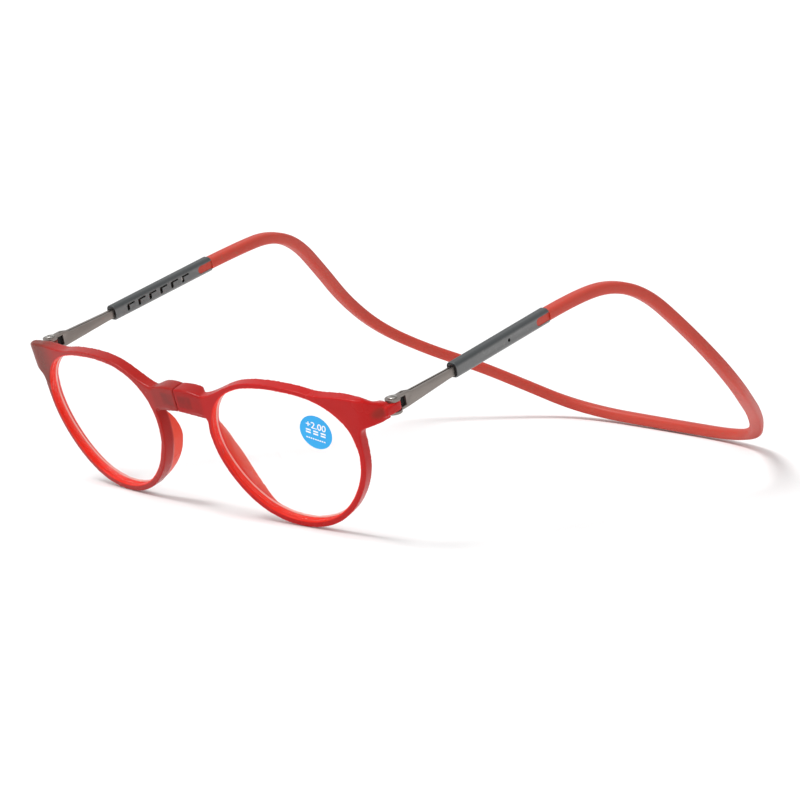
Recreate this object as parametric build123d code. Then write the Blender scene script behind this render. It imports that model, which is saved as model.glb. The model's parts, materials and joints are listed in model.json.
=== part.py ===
from build123d import *
import os
from math import cos, hypot, pi, radians, sin, tan

# Neck-hung reading glasses with a magnetic bridge.
# The front is split at the nose: two frame halves are held together by a magnet in
# each half of the bridge. A metal temple carries each half on a screwed hinge and
# slides in a plastic sleeve, and one rubber band joins both sleeves behind the neck.
# Millimetres. X points to the wearer's left, Y to the back of the head, Z up.
# Everything is drawn about the hinge line, and moved to the floor at the end.
# The left side is drawn and the right side is its mirror image.

# Overall stance
HINGE_HALF_SPAN = 65.4
HINGE_HEIGHT = 37.7
TEMPLE_RISE_DEG = 16.9
TEMPLE_TOE_IN_DEG = 0.8
FRONT_REACH = 15.5
SEAM_HEIGHT = 30.4
FRONT_TILT_DEG = 22.7
FRONT_WRAP_DEG = 7.25

# Lens outline: a mean circle with an oval, a triangular and smaller waves in it.
# Its radius and its place along the front are shares of the hinge's half span.
LENS_RADIUS_SHARE = 0.334
LENS_CENTER_SHARE = 0.54
LENS_CENTER_DROP = 9.7
OVAL_SHARE = 0.085
TRIANGLE_SHARE = 0.044
SLANT_SHARE = -0.008
SQUARE_SHARE = -0.005
CORNER_SHARE = 0.006
QUARTERS = 4
QUARTER_STEPS = 7

# Rim section
RIM_WIDTH = 1.85
RIM_TOP_THIN_SHARE = 0.25
RIM_DEPTH = 3.3
FRONT_BOW_RADIUS = 617.0
FRONT_BOW_RISE = 0.3
GROOVE_DEPTH = 0.75
GROOVE_WIDTH = 1.6
GROOVE_SETBACK = 0.85

# Lens
LENS_EDGE_PLAY = 0.05
LENS_EDGE_THICKNESS = 1.15
LENS_CURVE_RADIUS = 350.0
STICKER_DIAMETER = 10.0
STICKER_THICKNESS = 0.12
STICKER_PLAY = 0.02
STICKER_OUT = 11.0
STICKER_DROP = 2.1

# Bridge half and its magnet
SEAM_GAP = 0.1
BRIDGE_TOP = 4.35
BRIDGE_CROWN = 4.7
BRIDGE_BOTTOM = 2.2
BRIDGE_ARCH_DROP = 3.3
BRIDGE_REACH = 9.2
BRIDGE_DEPTH = 5.4
BRIDGE_ROUND = 0.5
BRIDGE_SPILL = 0.5
NOTCH_TOP = 3.7
BROW_ANGLE_DEG = 128.0
ARCH_ANGLE_DEG = 168.0
MAGNET_LENGTH = 4.6
MAGNET_HEIGHT = 3.8
MAGNET_DEPTH = 3.2
MAGNET_ROUND = 0.4
MAGNET_PLAY = 0.05
MAGNET_SETBACK = 0.15

# Nose pad moulded on the nasal side of the rim
PAD_REACH = 7.2
PAD_TOP_DROP = 2.5
PAD_BOTTOM_DROP = 30.5
PAD_SKIN = 0.2
PAD_INWARDS_SHARE = 0.33

# Endpiece: places are given from the hinge axis, as seen from the front
ENDPIECE_TOP_ANGLE_DEG = 62.0
ENDPIECE_FOOT_ANGLE_DEG = 3.0
CORNER_IN = 1.0
CORNER_RISE = 3.5
FACE_CORNER_IN = 0.25
BEAK_OUT = 0.75
BEAK_RISE = 1.2
FLOOR_IN = 0.1
FLOOR_DROP = 2.3
NECK_IN = 4.3
NECK_DROP = 3.1
CORNER_AHEAD = 5.4
REAR_AHEAD = 1.75
SIDE_FLARE = 1.2
TURN_LENGTH = 5.4
TURN_EASE = 0.9
ENDPIECE_THICKNESS = 3.8
SHOULDER_AHEAD = 5.6
SHOULDER_SLOPE = 0.85

# Hinge lug
LUG_RADIUS = 1.95
LUG_HEIGHT = 2.7
LUG_ROOT = 5.0
EAR_SPACE = 9.0
CUT_REACH = 90.0
HINGE_PLAY = 0.05

# Temple: a folded metal channel, open at the top
EAR_THICKNESS = 0.7
EAR_RADIUS = 2.1
FORK_GAP = 0.4
WINDOW_LENGTH = 1.6
TEMPLE_WIDTH = 1.9
INNER_LEG_THICKNESS = 0.5
CHANNEL_WIDTH = 0.45
CHANNEL_START = 3.2
CHANNEL_FLOOR = 0.6
TEMPLE_TAIL_HEIGHT = 2.2
TAIL_DROP = 0.2
FORK_SHOULDER = 4.6
LEG_START = 7.0
LEG_RISE = 1.4
TEMPLE_NECK = 21.5
TAIL_PAST_PIN = 3.2
SCREW_SHANK_DIAMETER = 1.2
SCREW_HEAD_DIAMETER = 2.6
SCREW_HEAD_HEIGHT = 0.4
SCREW_HEAD_ROUND = 0.2
SCREW_SLOT_WIDTH = 0.35
SCREW_SLOT_DEPTH = 0.2
SCREW_PLAY = 0.04
THREAD_PLAY = 0.02

# Sleeve and detent pin
SLEEVE_START = 23.9
SLEEVE_WIDTH = 3.7
SLEEVE_HEIGHT = 4.3
SLEEVE_ROUND = 1.3
SLEEVE_MOUTH_ROUND = 0.35
TEMPLE_PLAY = 0.15
NOTCH_COUNT = 6
NOTCH_PITCH = 4.45
FIRST_NOTCH = 5.1
NOTCH_STROKE_WIDTH = 1.0
NOTCH_STROKE_HEIGHT = 2.0
NOTCH_ARM_LENGTH = 2.4
NOTCH_ARM_HEIGHT = 0.5
PIN_DIAMETER = 1.1
PIN_SHANK_DIAMETER = 0.8
PIN_HEAD_HEIGHT = 0.45
PIN_HEAD_ROUND = 0.15
PIN_TRACK_PLAY = 0.1
PIN_TRACK_DEPTH = 0.4
CAVITY_END_PLAY = 0.6
SLEEVE_END_WALL = 2.6
SIDE_HOLE_DIAMETER = 1.0
SIDE_HOLE_PLACE = 21.9

# Neck band
BAND_THICKNESS = 3.4
BAND_HEIGHT = 4.2
BAND_ROUND = 1.3
TONGUE_LENGTH = 5.6
TONGUE_HEIGHT = 2.2
TONGUE_PLAY = 0.05
BAND_ARC_SHARE = 0.45

# The band's route behind its left sleeve, chosen by hand: sideways, back and up.
# It rises over the ear, drops behind it and comes to lie on the floor.
BAND_ROUTE = [
    (64.3, 74.5, 60.2),
    (65.5, 87.5, 62.3),
    (67.2, 100.5, 59.2),
    (69.5, 114.0, 49.5),
    (71.5, 127.5, 38.8),
    (69.5, 141.0, 29.5),
    (62.5, 155.5, 22.5),
    (54.0, 170.0, 17.0),
    (45.5, 183.5, 10.6),
    (37.0, 193.5, 5.3),
    (24.5, 198.5, 2.9),
    (9.0, 199.3, 2.65),
]

CUT_OVERRUN = 3.0

# Frames that the pieces are drawn in
TEMPLE_RISE = radians(TEMPLE_RISE_DEG)
TEMPLE_TOE_IN = radians(TEMPLE_TOE_IN_DEG)
FRONT_TILT = radians(FRONT_TILT_DEG)
FRONT_WRAP = radians(FRONT_WRAP_DEG)

hinge_point = Vector(HINGE_HALF_SPAN, 0, HINGE_HEIGHT)
temple_plane = Plane(
    origin=hinge_point,
    x_dir=(cos(TEMPLE_TOE_IN), sin(TEMPLE_TOE_IN), 0),
    z_dir=(
        sin(TEMPLE_TOE_IN) * sin(TEMPLE_RISE),
        -cos(TEMPLE_TOE_IN) * sin(TEMPLE_RISE),
        cos(TEMPLE_RISE),
    ),
)
front_plane = Plane(
    origin=(0, -FRONT_REACH, SEAM_HEIGHT),
    x_dir=(cos(FRONT_WRAP), sin(FRONT_WRAP), 0),
    z_dir=(
        sin(FRONT_WRAP) * cos(FRONT_TILT),
        -cos(FRONT_WRAP) * cos(FRONT_TILT),
        -sin(FRONT_TILT),
    ),
)
# In the front frame X runs outwards along the rim, Y up the rim and Z forwards.
front_place = front_plane.location
temple_place = temple_plane.location

# Sizes worked out from the ones above
lens_radius = LENS_RADIUS_SHARE * HINGE_HALF_SPAN
lens_center = LENS_CENTER_SHARE * HINGE_HALF_SPAN
lug_top = LUG_HEIGHT / 2
lug_bottom = -LUG_HEIGHT / 2
fork_top = lug_top + HINGE_PLAY + EAR_THICKNESS
fork_bottom = lug_bottom - HINGE_PLAY - EAR_THICKNESS
tail_top = TEMPLE_TAIL_HEIGHT / 2 - TAIL_DROP
tail_bottom = -TEMPLE_TAIL_HEIGHT / 2 - TAIL_DROP
cavity_width = TEMPLE_WIDTH + 2 * TEMPLE_PLAY
cavity_height = TEMPLE_TAIL_HEIGHT + 2 * TEMPLE_PLAY
pin_place = SLEEVE_START + FIRST_NOTCH + (NOTCH_COUNT - 1) * NOTCH_PITCH
tail_end = pin_place + TAIL_PAST_PIN
cavity_end = tail_end + CAVITY_END_PLAY
slot_length = TONGUE_LENGTH + TONGUE_PLAY
sleeve_end = cavity_end + SLEEVE_END_WALL + slot_length
slide_travel = (NOTCH_COUNT - 1) * NOTCH_PITCH
hinge = front_plane.to_local_coords(hinge_point)
lens_back = -(GROOVE_SETBACK + GROOVE_WIDTH - LENS_EDGE_PLAY)


def wave_radius(angle):
    """Distance of the lens opening's edge from the outline's centre."""
    wave = 1 + OVAL_SHARE * cos(2 * angle) + SLANT_SHARE * sin(2 * angle)
    wave += TRIANGLE_SHARE * sin(3 * angle) + SQUARE_SHARE * cos(4 * angle)
    wave += CORNER_SHARE * sin(5 * angle)
    return lens_radius * wave


def outline_point(angle, outward):
    """A point of the opening's edge, moved square to the edge by outward."""
    step = pi / 180
    radius = wave_radius(angle)
    growth = (wave_radius(angle + step) - wave_radius(angle - step)) / (2 * step)
    along_u = growth * cos(angle) - radius * sin(angle)
    along_v = growth * sin(angle) + radius * cos(angle)
    length = hypot(along_u, along_v)
    u = lens_center + radius * cos(angle) + outward * along_v / length
    v = -LENS_CENTER_DROP + radius * sin(angle) - outward * along_u / length
    return u, v


def even(width):
    """A growth that is the same all round."""
    return lambda angle: width


def rim_growth(inset):
    """The rim's width, which thins towards the brow, less an inset."""
    return lambda angle: RIM_WIDTH * (1 - RIM_TOP_THIN_SHARE * (1 + sin(angle)) / 2) - inset


def heading(angle, growth):
    """The outline's direction at an angle, for a walk that goes round clockwise."""
    step = pi / 180
    after = Vector(*outline_point(angle - step, growth(angle - step)))
    before = Vector(*outline_point(angle + step, growth(angle + step)))
    return (after - before).normalized()


def stretch(first, last, growth):
    """The outline between two angles as one smooth curve that goes round clockwise."""
    angles = [first + (last - first) * i / QUARTER_STEPS for i in range(QUARTER_STEPS + 1)]
    points = [outline_point(angle, growth(angle)) for angle in angles]
    return Spline(*points, tangents=[heading(first, growth), heading(last, growth)])


def lens_shape(growth):
    """The lens outline as a face, grown outwards, in four smooth stretches."""
    quarter = 2 * pi / QUARTERS
    return closed_face(*[stretch(-i * quarter, -(i + 1) * quarter, growth) for i in range(QUARTERS)])


def front_face_z(u):
    """Forward place of the bowed front surface."""
    return FRONT_BOW_RISE - ((u - lens_center) ** 2) / (2 * FRONT_BOW_RADIUS)


def turn_slope(u):
    """How steeply the bowed front falls back at a place along it."""
    return (u - lens_center) / FRONT_BOW_RADIUS


def closed_face(*edges):
    """A face from edges drawn one after the other."""
    return make_face(Wire(Curve() + list(edges)))


def seen_from_top(face, low, high):
    """Extrude a shape drawn in outward and forward directions up the rim."""
    plane = Plane(origin=(0, high, 0), x_dir=(1, 0, 0), z_dir=(0, -1, 0))
    return extrude(plane * face, amount=high - low)


def front_outline():
    """The half front seen from the front: bridge, brow, rim, endpiece and round again."""
    growth = rim_growth(0)
    brow_angle = radians(BROW_ANGLE_DEG)
    top_angle = radians(ENDPIECE_TOP_ANGLE_DEG)
    foot_angle = radians(ENDPIECE_FOOT_ANGLE_DEG)
    arch_angle = radians(ARCH_ANGLE_DEG) - 2 * pi
    start = -BRIDGE_SPILL
    notch = (BRIDGE_REACH, NOTCH_TOP)
    brow_end = outline_point(brow_angle, growth(brow_angle))
    top_start = outline_point(top_angle, growth(top_angle))
    foot_end = outline_point(foot_angle, growth(foot_angle))
    arch_start = outline_point(arch_angle, growth(arch_angle))
    corner = (hinge.X - CORNER_IN, hinge.Y + CORNER_RISE)
    beak = (hinge.X + BEAK_OUT, hinge.Y + BEAK_RISE)
    floor = (hinge.X - FLOOR_IN, hinge.Y - FLOOR_DROP)
    neck = (hinge.X - NECK_IN, hinge.Y - NECK_DROP)
    brow_way = (1, (brow_end[1] - notch[1]) / (brow_end[0] - notch[0]) / 2)
    corner_way = (CORNER_IN + BEAK_OUT, BEAK_RISE - CORNER_RISE)
    inward_way = (neck[0] - floor[0], neck[1] - floor[1])

    rim_end = arch_angle - foot_angle
    low = [foot_angle + rim_end * i / (QUARTERS - 1) for i in range(QUARTERS)]
    return closed_face(
        Line((start, -BRIDGE_BOTTOM), (start, BRIDGE_TOP)),
        ThreePointArc((start, BRIDGE_TOP), (BRIDGE_REACH / 2, BRIDGE_CROWN), notch),
        Spline(notch, brow_end, tangents=[brow_way, heading(brow_angle, growth)]),
        stretch(brow_angle, top_angle, growth),
        Spline(top_start, corner, tangents=[heading(top_angle, growth), corner_way]),
        Spline(corner, beak, floor, tangents=[corner_way, inward_way]),
        Spline(floor, neck, foot_end, tangents=[inward_way, heading(foot_angle, growth)]),
        *[stretch(low[i], low[i + 1], growth) for i in range(QUARTERS - 1)],
        Spline(arch_start, (start, -BRIDGE_BOTTOM), tangents=[heading(arch_angle, growth), (-1, 0)]),
    )


def front_from_top():
    """The half front seen from the top: bowed rim, endpiece turned back to the hinge."""
    corner = (hinge.X - FACE_CORNER_IN, hinge.Z + CORNER_AHEAD)
    rear = (corner[0] + SIDE_FLARE, hinge.Z + REAR_AHEAD)
    turn_u = corner[0] - TURN_LENGTH
    inside = rear[0] - ENDPIECE_THICKNESS
    hollow_u = turn_u + RIM_WIDTH
    hollow_z = front_face_z(hollow_u) - RIM_DEPTH
    face_way = (1, -turn_slope(turn_u))
    start = -BRIDGE_SPILL
    return closed_face(
        ThreePointArc(
            (start, front_face_z(start)),
            (turn_u / 2, front_face_z(turn_u / 2)),
            (turn_u, front_face_z(turn_u)),
        ),
        Spline((turn_u, front_face_z(turn_u)), corner, tangents=[face_way, (TURN_EASE, -1)]),
        Polyline(corner, rear, (inside, rear[1])),
        Spline((inside, rear[1]), (hollow_u, hollow_z), tangents=[(0, 1), (-1, turn_slope(hollow_u))]),
        ThreePointArc(
            (hollow_u, hollow_z),
            (hollow_u / 2, front_face_z(hollow_u / 2) - RIM_DEPTH),
            (start, front_face_z(start) - RIM_DEPTH),
        ),
        Line((start, front_face_z(start) - RIM_DEPTH), (start, front_face_z(start))),
    )


def rim_and_endpiece():
    """Front view cut to the top view, with softened edges and the lens opening."""
    low = -LENS_CENTER_DROP - 2 * lens_radius
    high = BRIDGE_TOP + lens_radius
    depth = CUT_OVERRUN - hinge.Z
    block = Location((0, 0, -depth)) * extrude(front_outline(), amount=depth + CUT_OVERRUN)
    body = block & seen_from_top(front_from_top(), low, high)
    opening = Location((0, 0, -depth)) * extrude(lens_shape(even(0)), amount=depth + CUT_OVERRUN)
    return body - opening


def bridge_block():
    """The deeper block at the seam that holds the magnet, rounded at the back."""
    start = -BRIDGE_SPILL
    arch_low = -(BRIDGE_BOTTOM + BRIDGE_ARCH_DROP) / 2
    notch = (BRIDGE_REACH, NOTCH_TOP)
    arch = (BRIDGE_REACH, -BRIDGE_ARCH_DROP)
    face = closed_face(
        ThreePointArc((start, BRIDGE_TOP), (BRIDGE_REACH / 2, BRIDGE_CROWN), notch),
        Line(notch, arch),
        ThreePointArc(arch, (BRIDGE_REACH / 2, arch_low), (start, -BRIDGE_BOTTOM)),
        Line((start, -BRIDGE_BOTTOM), (start, BRIDGE_TOP)),
    )
    block = Location((0, 0, -BRIDGE_DEPTH)) * extrude(face, amount=BRIDGE_DEPTH + front_face_z(0))
    shoulder = BRIDGE_REACH - (BRIDGE_DEPTH - RIM_DEPTH)
    plan = closed_face(
        Polyline(
            (start, front_face_z(0)),
            (BRIDGE_REACH, front_face_z(0)),
            (BRIDGE_REACH, -RIM_DEPTH),
            (shoulder, -BRIDGE_DEPTH),
            (start, -BRIDGE_DEPTH),
            (start, front_face_z(0)),
        )
    )
    block = block & seen_from_top(plan, -BRIDGE_ARCH_DROP - CUT_OVERRUN, BRIDGE_CROWN + CUT_OVERRUN)
    back_edges = block.edges().group_by(Axis.Z)[0]
    return fillet([edge for edge in back_edges if start < edge.center().X < shoulder], BRIDGE_ROUND)


def nose_pad():
    """The pad: the nasal rim carried backwards in a shallow arc."""
    band = lens_shape(rim_growth(PAD_SKIN)) - lens_shape(even(PAD_SKIN))
    reach = lens_center - lens_radius * PAD_INWARDS_SHARE
    window = Pos(0, -PAD_BOTTOM_DROP) * Rectangle(
        reach, PAD_BOTTOM_DROP - PAD_TOP_DROP, align=(Align.MIN, Align.MIN)
    )
    seat = -RIM_DEPTH / 2
    column = Location((0, 0, -PAD_REACH)) * extrude(band & window, amount=PAD_REACH + seat)
    side_plane = Plane(origin=(0, 0, 0), x_dir=(0, 1, 0), z_dir=(1, 0, 0))
    top = (-PAD_TOP_DROP, seat)
    bottom = (-PAD_BOTTOM_DROP, seat)
    deepest = (-(PAD_TOP_DROP + PAD_BOTTOM_DROP) / 2, -PAD_REACH)
    side = closed_face(ThreePointArc(top, deepest, bottom), Line(bottom, top))
    return column & extrude(side_plane * side, amount=lens_center)


def magnet_start():
    """How far out the magnet begins, so that its rear corner stays behind the seam."""
    return SEAM_GAP / 2 + MAGNET_SETBACK + BRIDGE_DEPTH * sin(FRONT_WRAP)


def magnet_block(play, start):
    """The magnet, or with some play all round the pocket that holds it."""
    face = RectangleRounded(MAGNET_HEIGHT + 2 * play, MAGNET_DEPTH + 2 * play, MAGNET_ROUND + play)
    middle_v = (BRIDGE_TOP - BRIDGE_BOTTOM) / 2
    middle_n = (front_face_z(0) - BRIDGE_DEPTH) / 2
    plane = Plane(origin=(start, middle_v, middle_n), x_dir=(0, 1, 0), z_dir=(1, 0, 0))
    return extrude(plane * face, amount=magnet_start() + MAGNET_LENGTH + play - start)


def front_half():
    """One half of the front: rim, endpiece, hinge lug, bridge half and nose pad."""
    body = rim_and_endpiece() + bridge_block() + nose_pad()
    groove = Location((0, 0, -GROOVE_SETBACK - GROOVE_WIDTH)) * extrude(
        lens_shape(even(GROOVE_DEPTH)), amount=GROOVE_WIDTH
    )
    body = front_place * (body - groove - magnet_block(MAGNET_PLAY, -BRIDGE_SPILL))

    # The seam is cut beside the mid-plane, half the gap away from it.
    seam_cut = Pos(SEAM_GAP / 2, 0, 0) * Box(
        CUT_OVERRUN, CUT_REACH, CUT_REACH, align=(Align.MAX, Align.CENTER, Align.CENTER)
    )
    body = body - seam_cut

    # The endpiece's top runs level with the fork, and rises to the brow ahead of it.
    shoulder = SHOULDER_AHEAD + CUT_OVERRUN
    crest = fork_top + SHOULDER_SLOPE * CUT_OVERRUN
    above = closed_face(
        Polyline(
            (EAR_RADIUS, fork_top),
            (-SHOULDER_AHEAD, fork_top),
            (-shoulder, crest),
            (-shoulder, crest + CUT_OVERRUN),
            (EAR_RADIUS, crest + CUT_OVERRUN),
            (EAR_RADIUS, fork_top),
        )
    )
    side_plane = Plane(origin=(-ENDPIECE_THICKNESS, 0, 0), x_dir=(0, 1, 0), z_dir=(1, 0, 0))
    body = body - temple_place * extrude(side_plane * above, amount=2 * ENDPIECE_THICKNESS)

    # The temple's ears turn above and below the lug.
    for height, side in ((lug_top, Align.MIN), (lug_bottom, Align.MAX)):
        ear_space = Cylinder(EAR_RADIUS + FORK_GAP, EAR_SPACE, align=(Align.CENTER, Align.CENTER, side))
        body = body - temple_place * Pos(0, 0, height) * ear_space

    # The lug: a round knuckle on a short arm, bored for the hinge screw.
    arm = Rectangle(2 * LUG_RADIUS, LUG_ROOT, align=(Align.CENTER, Align.MAX)) + Circle(LUG_RADIUS)
    lug = Pos(0, 0, lug_bottom) * extrude(arm, amount=LUG_HEIGHT)
    bore = Cylinder(SCREW_SHANK_DIAMETER / 2 + SCREW_PLAY, LUG_HEIGHT + CUT_OVERRUN)
    return body + temple_place * lug - temple_place * bore


def dome_center():
    """Forward place of the centre that the lens's front is domed about."""
    edge_radius = lens_radius * (1 + OVAL_SHARE + TRIANGLE_SHARE) + GROOVE_DEPTH
    return lens_back + LENS_EDGE_THICKNESS - (LENS_CURVE_RADIUS ** 2 - edge_radius ** 2) ** 0.5


def lens():
    """A plus lens: flat at the back, gently domed at the front."""
    blank = Location((0, 0, lens_back)) * extrude(
        lens_shape(even(GROOVE_DEPTH - LENS_EDGE_PLAY)), amount=GROOVE_WIDTH + CUT_OVERRUN
    )
    ball = Pos(lens_center, -LENS_CENTER_DROP, dome_center()) * Sphere(LENS_CURVE_RADIUS)
    return front_place * (blank & ball)


def sticker():
    """A round peel-off sticker that follows the dome of the left lens."""
    dome = dome_center()
    column = Pos(lens_center + STICKER_OUT, -STICKER_DROP, 0) * Cylinder(STICKER_DIAMETER / 2, 2 * RIM_DEPTH)
    outer = Pos(lens_center, -LENS_CENTER_DROP, dome) * Sphere(
        LENS_CURVE_RADIUS + STICKER_PLAY + STICKER_THICKNESS
    )
    inner = Pos(lens_center, -LENS_CENTER_DROP, dome) * Sphere(LENS_CURVE_RADIUS + STICKER_PLAY)
    return front_place * ((column & outer) - inner)


def temple():
    """The temple: a folded channel with a forked hinge end and a tail in the sleeve."""
    # Seen from the side, along the temple and up.
    side = closed_face(
        Polyline(
            (0, fork_top),
            (FORK_SHOULDER, fork_top),
            (LEG_START, LEG_RISE),
            (TEMPLE_NECK, tail_top),
            (tail_end, tail_top),
            (tail_end, tail_bottom),
            (TEMPLE_NECK, tail_bottom),
            (FORK_SHOULDER, fork_bottom),
            (0, fork_bottom),
            (0, fork_top),
        )
    )
    side_plane = Plane(origin=(-TEMPLE_WIDTH / 2, 0, 0), x_dir=(0, 1, 0), z_dir=(1, 0, 0))
    body = extrude(side_plane * side, amount=TEMPLE_WIDTH)
    cheek = Cylinder(EAR_RADIUS, fork_top - fork_bottom)
    body = body + cheek

    # The fork: the lug's height is cleared back to behind the knuckle.
    window_end = LUG_RADIUS + FORK_GAP + WINDOW_LENGTH
    fork = Pos(0, window_end, 0) * Box(
        2 * EAR_RADIUS + CUT_OVERRUN,
        window_end + EAR_RADIUS + CUT_OVERRUN,
        LUG_HEIGHT + 2 * HINGE_PLAY,
        align=(Align.CENTER, Align.MAX, Align.CENTER),
    )
    body = body - fork

    # The channel between the two legs is open at the top.
    channel_left = -TEMPLE_WIDTH / 2 + INNER_LEG_THICKNESS
    channel = Pos(channel_left, CHANNEL_START, tail_bottom + CHANNEL_FLOOR) * Box(
        CHANNEL_WIDTH,
        tail_end,
        SLEEVE_HEIGHT,
        align=(Align.MIN, Align.MIN, Align.MIN),
    )
    body = body - channel

    screw_bore = Cylinder(SCREW_SHANK_DIAMETER / 2 + THREAD_PLAY, fork_top - fork_bottom + CUT_OVERRUN)
    pin_bore = Cylinder(PIN_SHANK_DIAMETER / 2 + THREAD_PLAY, TEMPLE_WIDTH + CUT_OVERRUN)
    return temple_place * (body - screw_bore - Pos(0, pin_place, 0) * Rot(0, 90, 0) * pin_bore)


def hinge_screw():
    """The hinge screw: a low round head with a slot, and its shank."""
    shank = Pos(0, 0, fork_bottom) * Cylinder(
        SCREW_SHANK_DIAMETER / 2, fork_top - fork_bottom, align=(Align.CENTER, Align.CENTER, Align.MIN)
    )
    head = Pos(0, 0, fork_top) * Cylinder(
        SCREW_HEAD_DIAMETER / 2, SCREW_HEAD_HEIGHT, align=(Align.CENTER, Align.CENTER, Align.MIN)
    )
    head = fillet(head.edges().group_by(Axis.Z)[-1], SCREW_HEAD_ROUND)
    slot = Pos(0, 0, fork_top + SCREW_HEAD_HEIGHT) * Box(
        SCREW_HEAD_DIAMETER + CUT_OVERRUN, SCREW_SLOT_WIDTH, 2 * SCREW_SLOT_DEPTH
    )
    return temple_place * (shank + head - slot)


def detent_pin():
    """The pin that clicks into the notches: a head inside, a shank through the temple."""
    inner_side = -TEMPLE_WIDTH / 2
    turn = Pos(inner_side, pin_place, 0) * Rot(0, 90, 0)
    outwards = (Align.CENTER, Align.CENTER, Align.MIN)
    shank = Cylinder(PIN_SHANK_DIAMETER / 2, TEMPLE_WIDTH, align=outwards)
    head = Cylinder(PIN_DIAMETER / 2, PIN_HEAD_HEIGHT, align=(Align.CENTER, Align.CENTER, Align.MAX))
    head = fillet(head.edges().group_by(Axis.Z)[0], PIN_HEAD_ROUND)
    return temple_place * (turn * (shank + head))


def sleeve():
    """The sleeve that the temple slides in, with six windowed notches on its inner side."""
    along = Plane(origin=(0, SLEEVE_START, 0), x_dir=(-1, 0, 0), z_dir=(0, 1, 0))
    outside = RectangleRounded(SLEEVE_WIDTH, SLEEVE_HEIGHT, SLEEVE_ROUND)
    body = extrude(along * outside, amount=sleeve_end - SLEEVE_START)
    body = fillet(body.edges().group_by(Axis.Y)[0], SLEEVE_MOUTH_ROUND)
    inside = Pos(0, -TAIL_DROP) * RectangleRounded(cavity_width, cavity_height, TEMPLE_PLAY)
    body = body - extrude(along * inside, amount=cavity_end - SLEEVE_START)

    # The pin's head runs in a blind track in the inner wall.
    track = Pos(-cavity_width / 2, SLEEVE_START, 0) * Box(
        2 * PIN_TRACK_DEPTH,
        pin_place - SLEEVE_START + PIN_DIAMETER / 2 + PIN_TRACK_PLAY,
        PIN_DIAMETER + 2 * PIN_TRACK_PLAY,
        align=(Align.CENTER, Align.MIN, Align.CENTER),
    )
    body = body - track

    # Each notch shows as an upright stroke with an arm that runs back from its top.
    stroke = SlotOverall(NOTCH_STROKE_HEIGHT, NOTCH_STROKE_WIDTH, rotation=90)
    arm = Pos(NOTCH_ARM_LENGTH / 2, NOTCH_STROKE_HEIGHT / 2 - NOTCH_ARM_HEIGHT / 2) * SlotOverall(
        NOTCH_ARM_LENGTH + NOTCH_STROKE_WIDTH / 2, NOTCH_ARM_HEIGHT
    )
    window = stroke + arm
    reach = SLEEVE_WIDTH / 2 + CUT_OVERRUN
    for number in range(NOTCH_COUNT):
        place = SLEEVE_START + FIRST_NOTCH + number * NOTCH_PITCH
        wall = Plane(origin=(-reach, place, 0), x_dir=(0, 1, 0), z_dir=(1, 0, 0))
        body = body - extrude(wall * window, amount=reach)

    side_hole = Pos(SLEEVE_WIDTH / 2, SLEEVE_START + SIDE_HOLE_PLACE, 0) * Rot(0, 90, 0) * Cylinder(
        SIDE_HOLE_DIAMETER / 2, SLEEVE_WIDTH
    )
    body = body - side_hole

    # The band's tongue fills a slot across the rear end.
    slot_half = TONGUE_HEIGHT / 2 + TONGUE_PLAY
    slot = Pos(0, sleeve_end - slot_length + slot_half, 0) * Box(
        SLEEVE_WIDTH + CUT_OVERRUN,
        slot_length,
        2 * slot_half,
        align=(Align.CENTER, Align.MIN, Align.CENTER),
    )
    slot += Pos(0, sleeve_end - slot_length + slot_half, 0) * Rot(0, 90, 0) * Cylinder(
        slot_half, SLEEVE_WIDTH + CUT_OVERRUN
    )
    return temple_place * (body - slot)


def band_points():
    """The whole route, from the left sleeve round the neck to the right sleeve."""
    start = temple_place * Pos(0, sleeve_end, 0)
    left = [tuple(start.position)] + BAND_ROUTE
    right = [(-x, y, z) for x, y, z in reversed(left)]
    return left + right


def band_radii(points):
    """The largest arc that each corner of the route leaves room for."""
    radii = []
    for before, here, after in zip(points, points[1:], points[2:]):
        first = Vector(here) - Vector(before)
        second = Vector(after) - Vector(here)
        turn = radians(first.get_angle(second))
        shorter = min(first.length, second.length)
        radii.append(BAND_ARC_SHARE * shorter / tan(turn / 2))
    return radii


def neck_band():
    """The rubber band, swept along its route, with a tongue at each end."""
    points = band_points()
    radii = band_radii(points)
    print("band radii", [round(radius, 1) for radius in radii])
    path = FilletPolyline(*points, radius=radii)
    first = (Vector(points[1]) - Vector(points[0])).normalized()
    start = Plane(origin=points[0], x_dir=(-1, 0, 0), z_dir=first)
    section = start * RectangleRounded(BAND_THICKNESS, BAND_HEIGHT, BAND_ROUND)
    body = sweep(section, path=path)
    length = path.length
    print("band length", round(length, 1), "volume", round(body.volume, 1),
          "section x length", round(section.area * length, 1))

    tongue_half = TONGUE_HEIGHT / 2
    tongue = Pos(0, sleeve_end, 0) * Box(
        BAND_THICKNESS,
        TONGUE_LENGTH - tongue_half,
        TONGUE_HEIGHT,
        align=(Align.CENTER, Align.MAX, Align.CENTER),
    )
    tongue += Pos(0, sleeve_end - TONGUE_LENGTH + tongue_half, 0) * Rot(0, 90, 0) * Cylinder(
        tongue_half, BAND_THICKNESS
    )
    left_tongue = temple_place * tongue
    return body + left_tongue + mirror(left_tongue, about=Plane.YZ)


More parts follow.
